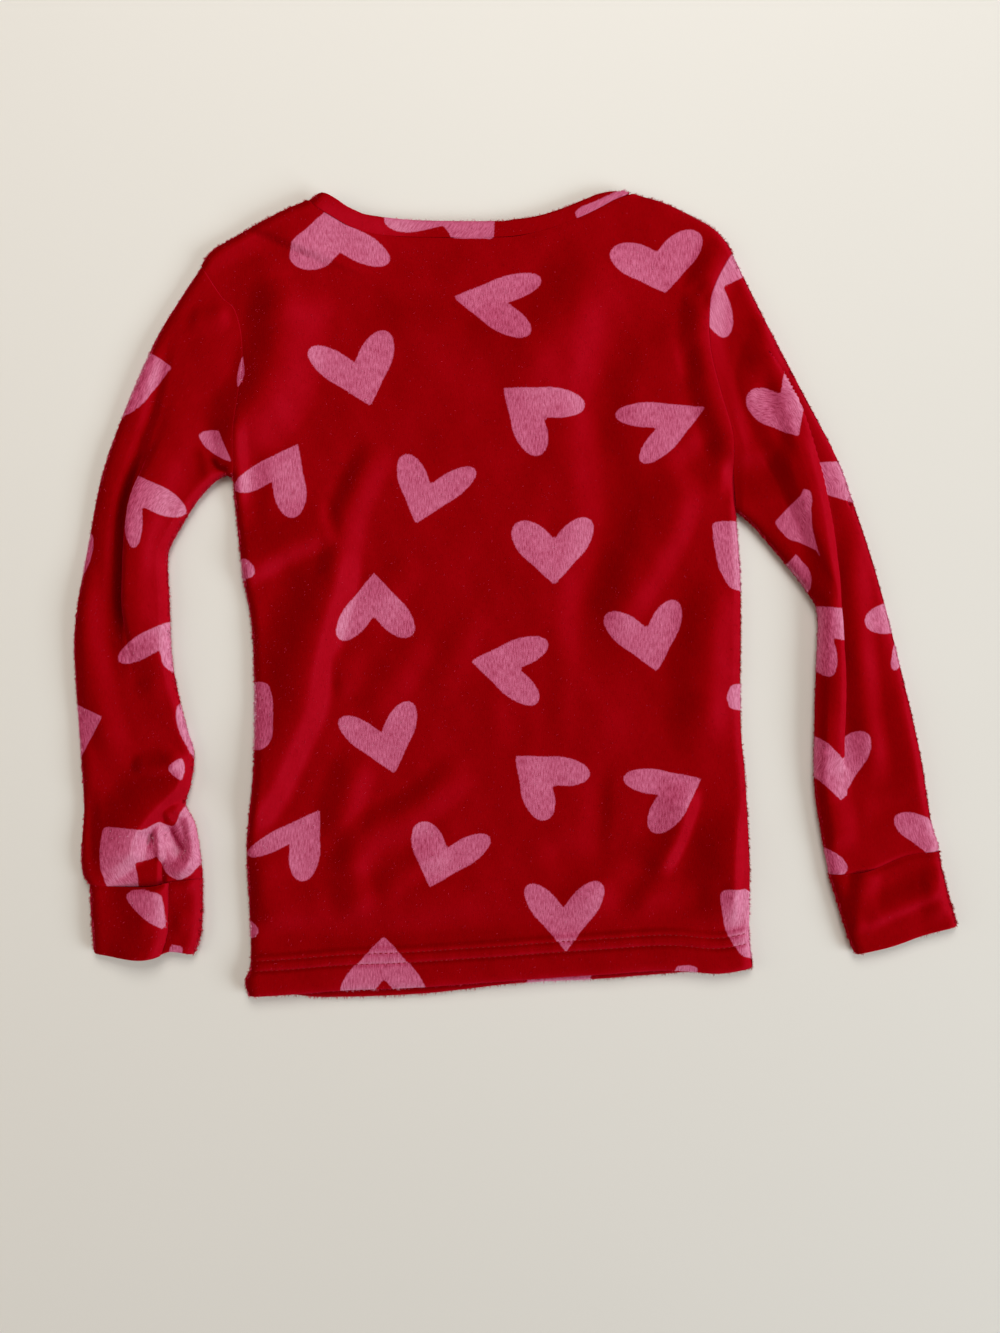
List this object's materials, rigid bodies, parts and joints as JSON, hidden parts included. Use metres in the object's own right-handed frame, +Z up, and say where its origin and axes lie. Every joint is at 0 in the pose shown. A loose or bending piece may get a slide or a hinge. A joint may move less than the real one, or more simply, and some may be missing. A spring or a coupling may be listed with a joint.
{
  "type": "child's long-sleeved plush pajama top",
  "caption": "Child's long-sleeved pajama top in heart-printed plush, laid flat with its back up, with a turned-up hem, doubled cuffs and a narrow neckband.",
  "frame": {"origin": "on the surface that the top lies on, under the middle of its whole outline", "axes": "+X across the chest towards the right sleeve as seen from above, +Y from hem to neck, +Z up from the surface, through the front and then the back"},
  "size_m": [0.5294, 0.4861, 0.0126],
  "materials": {
    "plush": "matt short-pile plush, printed with pink hearts",
    "trim": "the same plush, doubled"
  },
  "bodies": {
    "root": {"back_panel": "plush", "front_panel": "plush", "left_sleeve": "plush", "right_sleeve": "plush", "left_cuff": "trim", "right_cuff": "trim", "neckband": "trim"}
  },
  "joints": []
}
